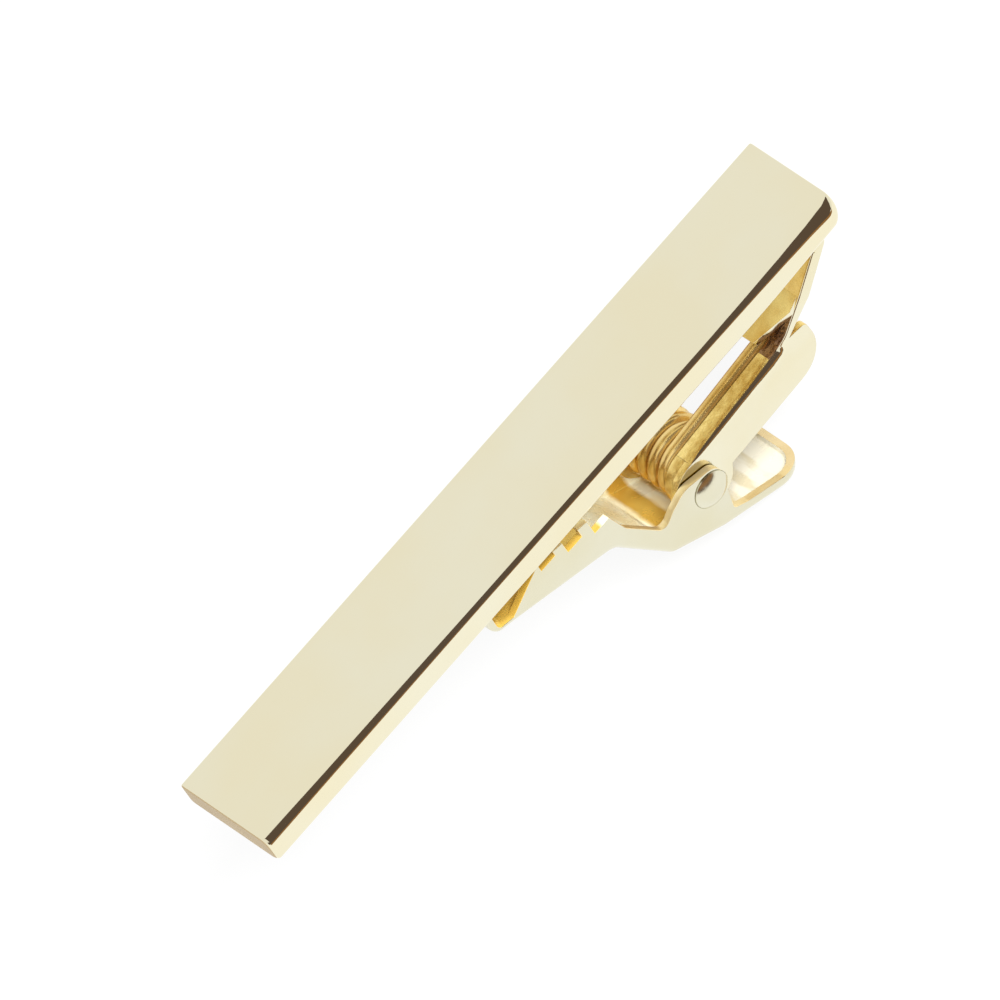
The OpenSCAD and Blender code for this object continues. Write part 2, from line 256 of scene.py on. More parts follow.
# deep grainy gold inside the arm: the grain is a bump, the deep colour a painted reflection of the
# bar's gold back
grainy_gold_painted_reflection = gold(
    "grainy_gold_plate_painted_reflection", rgb(0.92, 0.72, 0.27), rgb(0.56, 0.34, 0.07), 0.85, (0.14, 0.36),
    wave=0.03, wave_size=0.45, grain=0.018, grain_size=0.13)
# dark brown web strips beside the tongue: painted shade, where the tongue above shadows them
under_tongue_painted_shade = gold(
    "under_tongue_painted_shade_plate", rgb(0.30, 0.17, 0.08), rgb(0.16, 0.08, 0.04), 0.9, (0.15, 0.3),
    wave=0.06, wave_size=0.5, grain=0.01, grain_size=0.2)
edge_gold = gold(
    "cut_edge_gold_plate", rgb(0.92, 0.79, 0.46), rgb(0.84, 0.66, 0.32), 0.75, (0.28, 0.42),
    wave_size=0.8, grain=0.003)
rivet_gold = gold(
    "rivet_gold_plate", rgb(0.74, 0.715, 0.56), rgb(0.72, 0.685, 0.51),
    rough=(0.16, 0.24), wave=0.01, wave_size=0.8)
# the jaw's inside: deep orange gold as painted shade in its channel, notches and beside the coil,
# with light bands of painted reflection from the mask
jaw_inner_painted_light = gold(
    "jaw_inner_painted_shade_and_reflection_plate", rgb(0.92, 0.64, 0.13), rgb(0.70, 0.43, 0.06), 0.4, (0.2, 0.36),
    wave_size=1.4, grain=0.003, painted_reflection=jaw_bright)
tab_gold = gold(
    "tab_rim_gold_plate", rgb(0.86, 0.70, 0.40), rgb(0.78, 0.60, 0.30), 0.8, (0.2, 0.3),
    wave_size=1.2)
wire_gold = gold(
    "wire_gold_plate", rgb(0.88, 0.66, 0.27), rgb(0.62, 0.38, 0.09), 0.85, (0.18, 0.3),
    wave_size=0.9)


# Making pieces

def add_piece(name, bm, body, replaced, materials):
    mesh = bpy.data.meshes.new(name)
    bmesh.ops.recalc_face_normals(bm, faces=bm.faces)
    bm.to_mesh(mesh)
    bm.free()
    for polygon in mesh.polygons:
        polygon.use_smooth = True
    piece = bpy.data.objects.new(name, mesh)
    bpy.context.scene.collection.objects.link(piece)
    for material in materials:
        mesh.materials.append(material)
    if body:
        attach(piece, body)
    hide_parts(replaced)
    return piece


def even_normals(piece):
    made = piece.modifiers.new("even_normals", "WEIGHTED_NORMAL")
    made.weight, made.keep_sharp = 80, False


def join_rings(bm, rings):
    """Faces between rings of vertices; a ring of one vertex closes the piece to a point."""
    for a, b in zip(rings, rings[1:]):
        count = max(len(a), len(b))
        for k in range(count):
            j = (k + 1) % count
            corners = (a[k % len(a)], b[k % len(b)], b[j % len(b)], a[j % len(a)])
            bm.faces.new(tuple(dict.fromkeys(corners)))


# Front bar: a loft whose edges are rounder near the ends, where it was polished more

BAR_HALF_L, BAR_HALF_W, BAR_THICK = 20.85, 3.15, 1.7
# Radii of the long near edges, at places along the bar, and of the long far edges
NEAR_FRONT_R = (
    (-20.85, 0.50), (-15, 0.42), (-4, 0.33), (11, 0.34), (14, 0.39), (16.3, 0.46), (18.9, 0.6),
    (20, 0.74), (20.85, 0.86))
NEAR_BACK_R = ((-20.85, 0.3), (14, 0.3), (20.85, 0.7))
FAR_FRONT_R, FAR_BACK_R = 0.14, 0.25
# Radii round the end faces: on the near side and the back, at the left and at the arm's end,
# and on the far side and the front, at both ends
LEFT_NEAR_R, LEFT_BACK_R, ARM_END_NEAR_R, ARM_END_BACK_R = 0.25, 0.25, 0.8, 0.9
END_FAR_R, END_FRONT_R = 0.10, 0.12
# The left end face lies beyond this place; its tan there is painted shade, for the shadowed floor
# that the end mirrors
LEFT_FACE_X = -20.8


def along(table, x):
    """The value at x of a table of places and values, passing smoothly from one to the next."""
    if x <= table[0][0]:
        return table[0][1]
    for (x0, v0), (x1, v1) in zip(table, table[1:]):
        if x <= x1:
            share = (x - x0) / (x1 - x0)
            share = share * share * (3 - 2 * share)
            return v0 + (v1 - v0) * share
    return table[-1][1]


def rounded_inset(radius, depth):
    """How far a rounded rim draws a side in, at a depth behind the end."""
    if depth >= radius:
        return 0.0
    return radius - math.sqrt(max(radius * radius - (radius - depth) ** 2, 0))


def bar_section(x):
    """The bar's outline across it at x, from the near back edge round by the far side."""
    steps = 10
    # the share of the section's half height that an edge's radius may take
    most = 0.96
    depth = BAR_HALF_L - abs(x)
    left = x < 0
    y0 = -BAR_HALF_W + rounded_inset(LEFT_NEAR_R if left else ARM_END_NEAR_R, depth)
    y1 = BAR_HALF_W - rounded_inset(END_FAR_R, depth)
    low = rounded_inset(LEFT_BACK_R if left else ARM_END_BACK_R, depth)
    top = BAR_THICK - rounded_inset(END_FRONT_R, depth)
    corners = (
        (y0, low, along(NEAR_BACK_R, x), 180), (y1, low, FAR_BACK_R, 270),
        (y1, top, FAR_FRONT_R, 0), (y0, top, along(NEAR_FRONT_R, x), 90))
    points = []
    for cy, cz, r, start in corners:
        r = min(r, (top - low) / 2 * most)
        oy = cy + (r if cy == y0 else -r)
        oz = cz + (r if cz == low else -r)
        for k in range(steps + 1):
            angle = math.radians(start + 90 * k / steps)
            spot = Vector((x, oy + r * math.cos(angle), oz + r * math.sin(angle)))
            points.append(spot * MM)
    return points


def add_bar():
    steps, middle_steps, end_stretch = 9, 40, 1
    radii = (ARM_END_BACK_R, ARM_END_NEAR_R, LEFT_NEAR_R, END_FRONT_R)
    depths = sorted({
        round(r * (1 - math.cos(math.radians(90 * k / steps))), 5)
        for r in radii for k in range(steps + 1)})
    middle = 2 * BAR_HALF_L - 2 * end_stretch
    places = [-BAR_HALF_L + d for d in depths]
    places += [
        (-BAR_HALF_L + end_stretch) + middle * k / middle_steps for k in range(middle_steps + 1)]
    places += [BAR_HALF_L - d for d in reversed(depths)]
    bm = bmesh.new()
    rings = [[bm.verts.new(p) for p in bar_section(x)] for x in places]
    join_rings(bm, rings)
    bm.faces.new(rings[0])
    bm.faces.new(list(reversed(rings[-1])))
    bmesh.ops.remove_doubles(bm, verts=bm.verts, dist=1e-7)
    # the left end's faces take the tan of painted shade
    for face in bm.faces:
        if face.calc_center_median().x < LEFT_FACE_X * MM:
            face.material_index = 1
    piece = add_piece("polished_bar", bm, "frame", "front_bar", [bar_gold, end_painted_shade_gold])
    even_normals(piece)


add_bar()


# Stamped sheet pieces: lofted along their side lines, with rounded folds and cut side walls.
# Paths lie in the side view, so their x is along the bar and their y is up.

def left_of(v):
    return Vector((-v.y, v.x))


def direction(angle):
    return Vector((math.cos(math.radians(angle)), math.sin(math.radians(angle))))


def corner(a, b, c, r, steps=9):
    """The corner at b between a and c, rounded to radius r."""
    if r <= 0:
        return [b.copy()]
    u, v = (b - a).normalized(), (c - b).normalized()
    bend = math.atan2(u.x * v.y - u.y * v.x, u.dot(v))
    side = 1 if bend > 0 else -1
    spoke = left_of(u) * side * r
    centre = b - u * r * math.tan(abs(bend) / 2) + spoke
    points = []
    for k in range(steps + 1):
        angle = bend * k / steps
        s, t = math.sin(angle), math.cos(angle)
        points.append(centre + Vector((-spoke.x * t + spoke.y * s, -spoke.x * s - spoke.y * t)))
    return points


def rounded_path(points, radii):
    path = [Vector(points[0])]
    for a, b, c, radius in zip(points, points[1:], points[2:], radii):
        path += corner(Vector(a), Vector(b), Vector(c), radius)
    return path + [Vector(points[-1])]


def arc(centre, radius, start, end, steps):
    angles = [start + (end - start) * k / steps for k in range(steps + 1)]
    return [centre + radius * direction(angle) for angle in angles]


def inward(path):
    """The way into the sheet at each place of its outer line, as long as the corners need."""
    ways = []
    for i in range(len(path)):
        u = (path[max(i, 1)] - path[max(i, 1) - 1]).normalized()
        j = min(i, len(path) - 2)
        v = (path[j + 1] - path[j]).normalized()
        ways.append((left_of(u) + left_of(v)) / (1 + u.dot(v)))
    return ways


def split_at(path, places):
    """The path with a point added where it first passes each of the places along the bar."""
    least = 1e-4
    for x in places:
        for i, (a, b) in enumerate(zip(path, path[1:])):
            if a.x != b.x and least < (x - a.x) / (b.x - a.x) < 1 - least:
                path = path[:i + 1] + [a + (b - a) * (x - a.x) / (b.x - a.x)] + path[i + 1:]
                break
    return path


def first_below(path, x):
    return next(i for i, p in enumerate(path) if p.x < x)


def at_y(points, y):
    return [(p.x, y, p.y) for p in points]


class Sheet:
    """A folded piece in the making, from places along the bar, across it, and up.

    Material slot 0 is the outside and slot 1 the walls' inside. The web's top and underside and
    the cut rims have slots that can be set."""

    fold_steps = 6
    # how many of those, from the wall on, have the outside's material
    polished_steps = 4

    def __init__(self, half_width):
        self.bm = bmesh.new()
        self.known = {}
        self.half = half_width
        self.top_index, self.low_index, self.rim_index = 0, 0, 0
        # where a wall's cut rim has the underside's material, by its place along the bar and up
        self.is_deep = lambda x, z: False

    def vert(self, x, y, z):
        key = (round(x, 3), round(y, 3), round(z, 3))
        if key not in self.known:
            self.known[key] = self.bm.verts.new(Vector((x, y + SET_OFF, z)) * MM)
        return self.known[key]

    def face(self, places, index=0):
        verts = []
        for place in places:
            vert = self.vert(*place)
            if not verts or (vert is not verts[-1] and vert is not verts[0]):
                verts.append(vert)
        if len(set(verts)) == len(verts) > 2 and not self.bm.faces.get(verts):
            self.bm.faces.new(verts).material_index = index

    def profile(self, radius):
        """The fold's outer and inner arcs, as distances in from the wall and down from the web."""
        inner = max(radius - SHEET, LEAST_R)
        steps = self.fold_steps
        sweep = [math.radians(90 * k / steps) for k in range(steps + 1)]
        outside = [(radius - radius * math.cos(a), radius - radius * math.sin(a)) for a in sweep]
        centre = max(radius, SHEET + inner)
        inside = [(centre - inner * math.cos(a), centre - inner * math.sin(a)) for a in sweep]
        return outside, inside

    def place(self, point, way, side, off, depth):
        spot = point + way * depth
        return (spot.x, side * (self.half - off), spot.y)

    def strip(self, path, ways, radii, side, reach, caps):
        """A fold on one side and the web from it up to the line at reach."""
        rows = []
        for point, way, radius in zip(path, ways, radii):
            outside, inside = self.profile(radius)
            stop = self.half - side * reach
            rows.append([
                [self.place(point, way, side, off, depth) for off, depth in line]
                for line in (outside + [(stop, 0)], inside + [(stop, SHEET)])])
        for (a_out, a_in), (b_out, b_in) in zip(rows, rows[1:]):
            for k in range(len(a_out) - 1):
                index = 0 if k < self.polished_steps else self.top_index
                self.face((a_out[k], b_out[k], b_out[k + 1], a_out[k + 1]), index)
                self.face((a_in[k], b_in[k], b_in[k + 1], a_in[k + 1]), self.low_index)
            self.face((a_out[-1], b_out[-1], b_in[-1], a_in[-1]))
        for wanted, (out_row, in_row) in zip(caps, (rows[0], rows[-1])):
            if wanted:
                self.face(out_row + in_row[::-1], self.rim_index)

    def wall(self, side, path, ways, radii, rim, bare_from=None):
        """A flat side wall between the fold's line and the rim, with its cut edge.

        From bare_from on no web joins the fold's line, and that part of it is a cut edge too."""
        lines, folds = [], []
        # points closer than this are one, in a wall that is cut into triangles
        least_step = 2e-3
        for off, index, least in ((0, 0, 0), (SHEET, 1, SHEET + LEAST_R)):
            fold_line = [p + w * max(r, least) for p, w, r in zip(path, ways, radii)]
            y = side * (self.half - off)
            outline = at_y(fold_line + rim, y)
            if bare_from:
                outline = [
                    p for p, q in zip(outline, outline[1:] + outline[:1])
                    if (Vector(p) - Vector(q)).length > least_step]
                for three in tessellate_polygon([[Vector(p) for p in outline]]):
                    self.face([outline[i] for i in three], index)
                folds.append(at_y(fold_line[bare_from:], y))
            else:
                self.face(outline, index)
            lines.append(at_y([fold_line[-1]] + rim + [fold_line[0]], y))
        for a, b, c, d in zip(lines[0], lines[0][1:], lines[1][1:], lines[1]):
            deep = self.is_deep((a[0] + c[0]) / 2, (a[2] + c[2]) / 2)
            self.face((a, b, c, d), self.low_index if deep else self.rim_index)
        if bare_from:
            for a, b, c, d in zip(folds[0], folds[0][1:], folds[1][1:], folds[1]):
                self.face((a, b, c, d), self.rim_index)

    def plate(self, path, ways, half_widths, centre=0.0, caps=(True, True)):
        """A plain strip with square edges, as wide at each place as the half widths say."""
        rows = []
        for point, way, half_width in zip(path, ways, half_widths):
            near, far = centre - half_width, centre + half_width
            deep = point + way * SHEET
            rows.append([
                (point.x, near, point.y), (point.x, far, point.y),
                (deep.x, far, deep.y), (deep.x, near, deep.y)])
        for a, b in zip(rows, rows[1:]):
            for k, index in enumerate((self.top_index, 0, self.low_index, 0)):
                j = (k + 1) % 4
                self.face((a[k], b[k], b[j], a[j]), index)
        for wanted, row in zip(caps, (rows[0], rows[-1])):
            if wanted:
                self.face(row)

    def finish(self, name, body, node, materials):
        piece = add_piece(name, self.bm, body, node, materials)
        bevel = piece.modifiers.new("cut_edges", "BEVEL")
        bevel.width, bevel.segments = 0.035 * MM, 3
        bevel.limit_method, bevel.angle_limit = "ANGLE", math.radians(42)
        bevel.use_clamp_overlap = False
        even_normals(piece)


# Fixed arm: its places are shares of the hinge's distance from the bar's end and of its depth

def arm_at(x_share, z_share):
    return Vector((HINGE.x + x_share * 13.36, -z_share * 6.54))


LEG_DOWN = -direction(40.3)
HEEL = Vector((19.54, 0))


def add_arm():
    sheet = Sheet(ARM_HALF_W)
    # slot 1's deep gold is painted shade inside the channel, slot 2's grainy gold a painted
    # reflection, slot 3's dark brown painted shade under the tongue
    top_slot, rim_slot, grainy_slot, painted_shade_slot = 1, 2, 2, 3
    curl, curl_r, curl_start, curl_end = HINGE + Vector((0.153, 0.153)), 1.7, 95, 204.9
    # the web's upper face: the leg, and from the knee on the strips along the window
    path = rounded_path(
        [HEEL + LEG_DOWN * 1.25, Vector((16.83, -2.30)), arm_at(0.521, 0.619),
         arm_at(0.4716, 0.6346), curl + curl_r * direction(94.9)],
        [0.4, 0.7, 0.5])
    path = split_at(path, (16.1, 15.1, 14.8, 13.8, 12.5, 11, 9.64, 9.2, 8.6, 8.1, 7.7))
    ways = inward(path)
    near_fold_r = (
        (7.5, 0.01), (7.7, 0.1), (8.4, 0.34), (10, 0.42), (12.5, 0.46), (13.7, 0.62),
        (14.4, 0.56), (15.1, 0.16), (20, 0.12))
    most_far_r = 0.3
    near_radii = [along(near_fold_r, p.x) for p in path]
    far_radii = [min(r, most_far_r) for r in near_radii]
    # where the window begins, where its strips turn from the painted shade under the tongue to the
    # grainy gold of painted reflection, and where the far strip ends
    window, grainy, far_end = (first_below(path, x) for x in (16.5, 13.85, 9.65))
    near_edge, far_edge = -1.32, 1.666
    for side, radii, edge, stop in (
            (-1, near_radii, near_edge, len(path)), (1, far_radii, far_edge, far_end + 1)):
        for first, last, reach, slot, caps in (
                (0, window + 1, 0.0, top_slot, (True, False)),
                (window, grainy + 1, edge, painted_shade_slot, (False, False)),
                (grainy, stop, edge, grainy_slot, (False, True))):
            sheet.top_index = slot
            sheet.strip(
                path[first:last], ways[first:last], radii[first:last], side, reach, caps)
    # each wall's outline, from the hinge's disc along its lower side to the heel; the far wall's
    # lower side is lifted, as the photograph shows more of the window there
    sheet.rim_index = rim_slot
    disc_r, disc_start = 1.852, 90.2
    for side, radii, lift, disc_end, wing_r, bare_from in (
            (-1, near_radii, 0.0, 343.6, 1.83, None), (1, far_radii, 0.6, 352, 1.3, far_end)):
        disc = arc(HINGE, disc_r, disc_start, disc_end, 30)
        lower_side = rounded_path(
            [disc[-1], arm_at(0.667, 1.0275) + Vector((0, lift)), arm_at(0.658, 0.615),
             arm_at(0.582, 0.589), arm_at(0.644, 0.521), arm_at(0.727, 0.436),
             arm_at(0.895, 0.14), arm_at(0.905, 0), HEEL],
            [wing_r, 0.3, 0, 0, 0.3, 0.5, 0])
        sheet.wall(side, path, ways, radii, disc + lower_side[1:], bare_from)
    # the near strip's curl round the hinge, inside the wall's disc
    ring = arc(curl, curl_r, curl_start, curl_end, 22)
    ring_near, ring_far = -1.97, -1.32
    sheet.top_index = grainy_slot
    sheet.plate(
        ring, inward(ring), [(ring_far - ring_near) / 2] * len(ring), (ring_near + ring_far) / 2,
        (False, True))
    sheet.top_index = top_slot
    add_foot_and_tongue(sheet)
    sheet.finish(
        "folded_arm", "frame", "fixed_arm", [sheet_gold, inner_gold_painted_shade, grainy_gold_painted_reflection, under_tongue_painted_shade])


def add_foot_and_tongue(sheet):
    """The foot under the bar with its bend, and the tongue that goes on from the leg.

    Their line is the sheet's outer face, with the sheet on its right-hand side."""
    foot_corner, foot_l, foot_half_w = Vector((20.19, 0)), 2.6, 2.37
    shoulder, tip_x, tip_z = Vector((17.044, -2.668)), 13.99, -3.78
    outer = rounded_path(
        [foot_corner - Vector((foot_l, 0)), foot_corner, shoulder, Vector((tip_x, tip_z))],
        [0.63, 0.6])
    ways = inward(outer)
    # the foot is the first point and the ten of its bend
    foot = 11
    sheet.plate(
        [p - w * SHEET for p, w in zip(outer[:foot], ways)], ways[:foot], [foot_half_w] * foot)
    # the tongue starts inside the leg and narrows to its tip
    lead = shoulder - LEG_DOWN * 0.7
    narrow_x, tongue_slope = 16.09, 20
    narrow = Vector((
        narrow_x, shoulder.y + (narrow_x - shoulder.x) * math.tan(math.radians(tongue_slope))))
    tongue = [(lead, left_of(LEG_DOWN))] + [(p, w) for p, w in zip(outer, ways) if p.x < lead.x]
    tongue.insert(-1, (narrow, tongue[-1][1]))
    leg_x, leg_half_w = 16.6, 2.2
    tip_half_w, flare_l, most_flare = 1.33, 2.1, 1
    half_widths = [
        leg_half_w if p.x > leg_x else tip_half_w + min((p.x - tip_x) / flare_l, most_flare)
        for p, w in tongue]
    # beyond this place it lies a little under the leg's upper face, so that only that face shows
    under_x, under = 16.8, 0.03
    tops = [p - w * (SHEET - (0 if p.x < under_x else under)) for p, w in tongue]
    sheet.plate(tops, [w for p, w in tongue], half_widths)


add_arm()


# Jaw: its places are shares of its reach from the hinge to the nose and of its depth

def jaw_at(x_share, z_share):
    return Vector((HINGE.x - x_share * 12.99, -z_share * 7.9))


FOLD_R = 0.5
# Height of the thumb tab's rim, and the tab's corner radius, end and slope
RIM_H = 0.78
TAB_CORNER_R, TAB_END_X, TAB_SLOPE = 1.7, 12.09, math.tan(math.radians(21.7))
TAB_BEND = jaw_at(0.04, 1.206)
CORNER_X = TAB_END_X - TAB_CORNER_R
CORNER_AT = Vector((CORNER_X, TAB_BEND.y - (CORNER_X - TAB_BEND.x) * TAB_SLOPE))
# The first notch's place, the notches' number, length and depth, and the pitch of the teeth
NOTCH, NOTCHES, NOTCH_L, NOTCH_D, PITCH = jaw_at(0.711, 0.032), 3, 1.0, 0.55, 1.63


def jaw_teeth():
    """The cut line of the notches, whose floors lie on a steeper slope than the teeth's tops."""
    top_slope, floor_slope = math.tan(math.radians(11.5)), math.tan(math.radians(19.8))
    teeth = []
    for k in range(NOTCHES):
        x, floor = NOTCH.x + k * PITCH, NOTCH.y - NOTCH_D - k * PITCH * floor_slope
        teeth += [(x, NOTCH.y - k * PITCH * top_slope), (x, floor), (x + NOTCH_L, floor)]
        if k < NOTCHES - 1:
            teeth.append((x + NOTCH_L, NOTCH.y - (k * PITCH + NOTCH_L) * top_slope))
    return teeth


def in_notch_or_nose(x, z):
    """Whether a place on the cut rim lies at the nose or below the teeth's tops."""
    teeth_end, nose_margin, top_margin, slope = 2.6, 0.1, 0.2, 0.28
    below = z < NOTCH.y - top_margin - slope * (x - NOTCH.x)
    return x < teeth_end and (x < NOTCH.x - nose_margin or below)


def add_jaw():
    sheet = Sheet(JAW_HALF_W)
    inner_slot, rim_slot, tab_rim_slot = 1, 2, 3
    sheet.low_index, sheet.rim_index = inner_slot, rim_slot
    # rims in the notches and round the nose take the inside's deep gold, painted shade
    sheet.is_deep = in_notch_or_nose
    path = rounded_path(
        [jaw_at(0.998, 0), jaw_at(1, 0.21), jaw_at(0.434, 0.523), jaw_at(0.261, 1), TAB_BEND,
         CORNER_AT],
        [0.85, 1.2, 0.8, 0.8])
    wall_x = -4.375
    path = split_at(path, (wall_x, -3, -1.5, 0, 7.9, 9))
    ways = inward(path)
    fold_r = ((-5.4, 0.34), (-4.8, 0.45), (-4, FOLD_R), (20, FOLD_R))
    radii = [along(fold_r, p.x) for p in path]
    for side in (-1, 1):
        sheet.strip(path, ways, radii, side, 0.0, (True, False))
    # the walls begin at wall_x, on the jaw's floor and not on its upturned nose
    nose_z, out_of_reach = -1.5, 100
    first = min(
        range(len(path)),
        key=lambda i: abs(path[i].x - wall_x) + (out_of_reach if path[i].y > nose_z else 0))
    # the walls' rim from the nose over the teeth, the valley and the ear to the tab
    ear_r, tab_rim_x = 1.36, 8.4
    ear = [
        HINGE + Vector(share) * ear_r
        for share in ((-1.62, 0.78), (-0.85, 1.1), (0.8, 0.68), (0.3, -1.75))]
    tab_top = ways[-1] * RIM_H
    tab_rim = Vector((tab_rim_x, TAB_BEND.y - (tab_rim_x - TAB_BEND.x) * TAB_SLOPE))
    teeth = jaw_teeth()
    rim = rounded_path(
        [path[first] + ways[first] * radii[first], *teeth,
         jaw_at(0.353, 0.45), jaw_at(0.235, 0.765), *ear, tab_rim + tab_top, CORNER_AT + tab_top],
        [0] * len(teeth) + [0.8, 0.5, 0.6, 1.3, 0.8, 0.3, 0.3])
    for side in (-1, 1):
        sheet.wall(side, path[first:], ways[first:], radii[first:], rim[:0:-1])
        # the low lip round the nose
        near, far = (
            at_y([p + w * max(r, least) for p, w, r in zip(path, ways, radii)], side * y)
            for least, y in ((0, JAW_HALF_W), (SHEET + LEAST_R, JAW_HALF_W - SHEET)))
        for i in range(first):
            sheet.face((near[i], near[i + 1], far[i + 1], far[i]), inner_slot)
    add_tab_end(sheet, path[-1], ways[-1], inner_slot, tab_rim_slot)
    sheet.finish("toothed_jaw", "jaw", "jaw", [jaw_gold, jaw_inner_painted_light, edge_gold, tab_gold])


def add_tab_end(sheet, last, way, inner_slot, tab_rim_slot):
    """The thumb tab's rounded end: the rim's profile carried round in plan."""
    outside, inside = sheet.profile(FOLD_R)
    outside = [(0, RIM_H)] + outside
    inside = [(SHEET, RIM_H), (SHEET, FOLD_R)] + inside[1:]
    centre_y = JAW_HALF_W - TAB_CORNER_R

    def spot(angle, side, off, depth):
        x = CORNER_X + (TAB_CORNER_R - off) * math.sin(angle)
        y = side * (centre_y + (TAB_CORNER_R - off) * math.cos(angle))
        z = CORNER_AT.y - (x - CORNER_X) * TAB_SLOPE
        return (x + way.x * depth, y, z + way.y * depth)

    steps = 12
    sweep = [math.radians(90 * k / steps) for k in range(steps + 1)]
    turns = [(angle, -1) for angle in sweep] + [(angle, 1) for angle in reversed(sweep)]
    rows = [
        [[spot(angle, side, off, depth) for off, depth in line] for line in (outside, inside)]
        for angle, side in turns]
    # the rim's first steps, next to the near wall, look like the wall's cut edge
    wall_steps = 4
    for i, ((a_out, a_in), (b_out, b_in)) in enumerate(zip(rows, rows[1:])):
        for k in range(len(a_out) - 1):
            sheet.face((a_out[k], b_out[k], b_out[k + 1], a_out[k + 1]))
            sheet.face((a_in[k], b_in[k], b_in[k + 1], a_in[k + 1]), inner_slot)
        slot = sheet.rim_index if i < wall_steps else tab_rim_slot
        sheet.face((a_out[0], b_out[0], b_in[0], a_in[0]), slot)
    deep = last + way * SHEET
    sheet.face([out_row[-1] for out_row, in_row in rows] + [(last.x, 0, last.y)])
    sheet.face([in_row[-1] for out_row, in_row in rows] + [(deep.x, 0, deep.y)], inner_slot)


add_jaw()


# Rivet: a domed head toward the viewer and a flatter closed end, on one shank

def add_rivet():
    centre = Vector((HINGE.x, SET_OFF, HINGE.y))
    grip, shank_r, sides = 2.87, 0.6, 72
    head_r, head_h, head_steps = 1.05, 0.42, 18
    peen_r, peen_h, peen_steps, peen_power = 0.9, 0.3, 10, 1.5
    ball_r = (head_r ** 2 + head_h ** 2) / (2 * head_h)
    head_angle = math.asin(head_r / ball_r)
    # radii, and distances toward the viewer
    profile = [(0.0, -grip - peen_h)]
    profile += [
        (peen_r * k / peen_steps,
         -grip - peen_h * math.cos(math.radians(90 * k / peen_steps)) ** peen_power)
        for k in range(1, peen_steps)]
    profile += [(peen_r, -grip), (shank_r, -grip), (shank_r, grip), (head_r, grip)]
    profile += [
        (ball_r * math.sin(head_angle * k / head_steps),
         grip + head_h - ball_r + ball_r * math.cos(head_angle * k / head_steps))
        for k in range(head_steps - 1, 0, -1)]
    profile += [(0.0, grip + head_h)]
    bm = bmesh.new()
    rings = []
    for radius, offset in profile:
        count = sides if radius else 1
        rings.append([
            bm.verts.new((centre + Vector((
                radius * math.cos(2 * math.pi * k / sides), -offset,
                radius * math.sin(2 * math.pi * k / sides)))) * MM)
            for k in range(count)])
    join_rings(bm, rings)
    add_piece("rivet", bm, "frame", "pivot_rivet", [rivet_gold])


add_rivet()


# Torsion spring: a close-wound coil round the rivet with its two straight legs

def add_spring():
    wire_r, wire_sides, end_share = 0.36, 16, 0.72
    coil_r, pitch, coil_steps = 1.6, 0.75, 200
    centre, near_y = Vector((8.05, SET_OFF, -6.46)), -0.90
    start_angle, end_angle = 95.6, 230.0
    turn = 3 * 360 + end_angle - start_angle
    far_y = near_y + pitch * turn / 360
    upper_l, upper_slope, upper_steps = 7.2, 5.6, 24
    lower_l, lower_slope, lower_steps = 3.5, -40, 12

    def around(angle, radius=1.0, y=0.0):
        angle = math.radians(angle)
        return Vector((radius * math.cos(angle), y, radius * math.sin(angle)))

    def spot(angle, y):
        return centre + around(angle, coil_r, y)

    path = [
        spot(start_angle, near_y) + around(upper_slope) * upper_l * (1 - k / upper_steps)
        for k in range(upper_steps)]
    for k in range(coil_steps + 1):
        share = k / coil_steps
        path.append(spot(start_angle + turn * share, near_y + (far_y - near_y) * share))
    path += [
        spot(end_angle, far_y) + around(lower_slope) * lower_l * k / lower_steps
        for k in range(1, lower_steps + 1)]

    bm = bmesh.new()
    rings = []
    for i, point in enumerate(path):
        ahead = (path[min(i + 1, len(path) - 1)] - path[max(i - 1, 0)]).normalized()
        side = ahead.cross(Vector((0, 1, 0))).normalized()
        other = ahead.cross(side)
        r = wire_r * (end_share if i in (0, len(path) - 1) else 1.0)
        rings.append([
            bm.verts.new((
                point + side * r * math.cos(2 * math.pi * k / wire_sides)
                + other * r * math.sin(2 * math.pi * k / wire_sides)) * MM)
            for k in range(wire_sides)])
    join_rings(bm, rings)
    bm.faces.new(rings[0])
    bm.faces.new(rings[-1])
    piece = add_piece("wound_spring", bm, None, "torsion_spring", [wire_gold])
    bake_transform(piece)


add_spring()


# Studio, in metres: a white floor, a soft lamp overhead, and two dark cards and a warm strip
# that only reflections show

WHITE = rgb(1, 1, 1)


def add_quad(name, centre, x_axis, y_axis, width, height, material):
    x_axis = Vector(x_axis).normalized() * width / 2
    y_axis = Vector(y_axis).normalized() * height / 2
    mesh = bpy.data.meshes.new(name)
    corners = [
        Vector(centre) + x_axis * i + y_axis * j for i, j in ((-1, -1), (1, -1), (1, 1), (-1, 1))]
    mesh.from_pydata(corners, [], [(0, 1, 2, 3)])
    quad = bpy.data.objects.new(name, mesh)
    bpy.context.scene.collection.objects.link(quad)
    mesh.materials.append(material)
    return quad


def floor_material():
    """Mostly plain white to the camera and in reflections, with some of the floor's shadows."""
    camera_share, glossy_share = 0.86, 0.8
    material = bpy.data.materials.new("floor_white")
    sh = Shader(material)
    rays = sh.node("LightPath").outputs
    plain = sh.node("BsdfDiffuse", Color=rgb(0.93, 0.93, 0.93))
    glow = sh.node("Emission", Color=WHITE, Strength=1.0)
    share = sh.math(
        "ADD", sh.math("MULTIPLY", rays["Is Camera Ray"], camera_share),
        sh.math("MULTIPLY", rays["Is Glossy Ray"], glossy_share), clamp=True)
    sh.mix(share, plain, glow, "OutputMaterial")
    return material


def card_material(name, colour):
    material = bpy.data.materials.new(name)
    sh = Shader(material)
    glow = sh.node("Emission", Color=colour, Strength=1.0)
    sh.put(sh.node("OutputMaterial"), "Surface", glow.outputs[0])
    return material


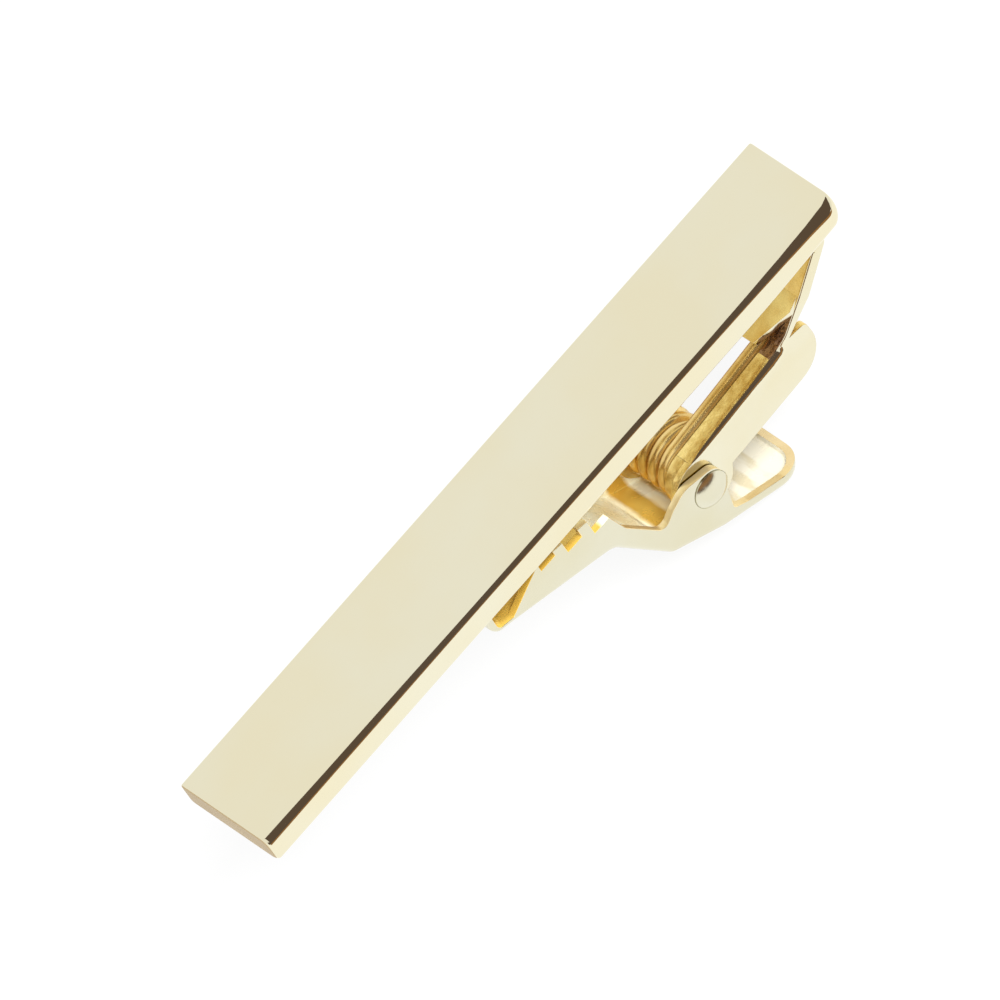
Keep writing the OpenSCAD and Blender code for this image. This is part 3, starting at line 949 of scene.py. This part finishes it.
def add_cards():
    """What the gold mirrors on the viewer's side of the room.

    The dark card is seen in the edges that lean toward that side, the warm strip low down in
    upright faces, and the dark flag in the rivet's dome."""
    along_bar, up = Vector((1, 0, 0)), Vector((0, 0, 1))
    away = 0.16
    dark = card_material("dark_card", rgb(0.12, 0.086, 0.068))
    warm = card_material("warm_strip", rgb(0.34, 0.17, 0.06))
    card_way = Vector((0.17, -0.70, 0.70)).normalized()
    card_up = Vector((0, 0.70, 0.70)).normalized()
    flag_way, flag_z = Vector((-0.42, -0.87, 0.25)), 0.035
    cards = (
        add_quad(
            "dark_card", card_way * away + Vector((0.060, 0, 0)), along_bar, card_up,
            0.22, 0.32, dark),
        add_quad(
            "warm_strip", Vector((0.004, -0.018, -0.0008)), along_bar, up, 0.06, 0.0044, warm),
        add_quad(
            "dark_flag", Vector((flag_way.x * away, flag_way.y * away, flag_z)),
            flag_way.cross(up), up, 0.10, 0.092, dark))
    for card in cards:
        for name in ("camera", "diffuse", "shadow", "transmission"):
            setattr(card, "visible_" + name, False)


def add_world():
    """Full white to look at, also in reflections, and softer as a light."""
    light_strength = 0.55
    world = bpy.data.worlds.new("World")
    bpy.context.scene.world = world
    sh = Shader(world)
    rays = sh.node("LightPath").outputs
    seen = sh.math("ADD", rays["Is Camera Ray"], rays["Is Glossy Ray"], clamp=True)
    seen = sh.math("ADD", seen, rays["Is Transmission Ray"], clamp=True)
    light = sh.node("Background", Color=WHITE, Strength=light_strength)
    white = sh.node("Background", Color=WHITE, Strength=1.0)
    sh.mix(seen, light, white, "OutputWorld")


def add_lamp():
    place = Vector((0.02, -0.20, 0.29))
    data = bpy.data.lights.new("softbox", "AREA")
    data.shape, data.size, data.size_y = "RECTANGLE", 0.25, 0.18
    data.energy = 2.2
    lamp = bpy.data.objects.new("softbox", data)
    bpy.context.scene.collection.objects.link(lamp)
    lamp.location = place
    lamp.rotation_mode = "QUATERNION"
    lamp.rotation_quaternion = (-place).to_track_quat("-Z", "Y")
    lamp.visible_glossy = False


def add_stage():
    floor_gap, floor_size = 0.00002, 6
    add_quad(
        "floor", (0, 0, cad_low.z - floor_gap), (1, 0, 0), (0, 1, 0), floor_size, floor_size,
        floor_material())
    add_cards()
    add_world()
    add_lamp()


add_stage()
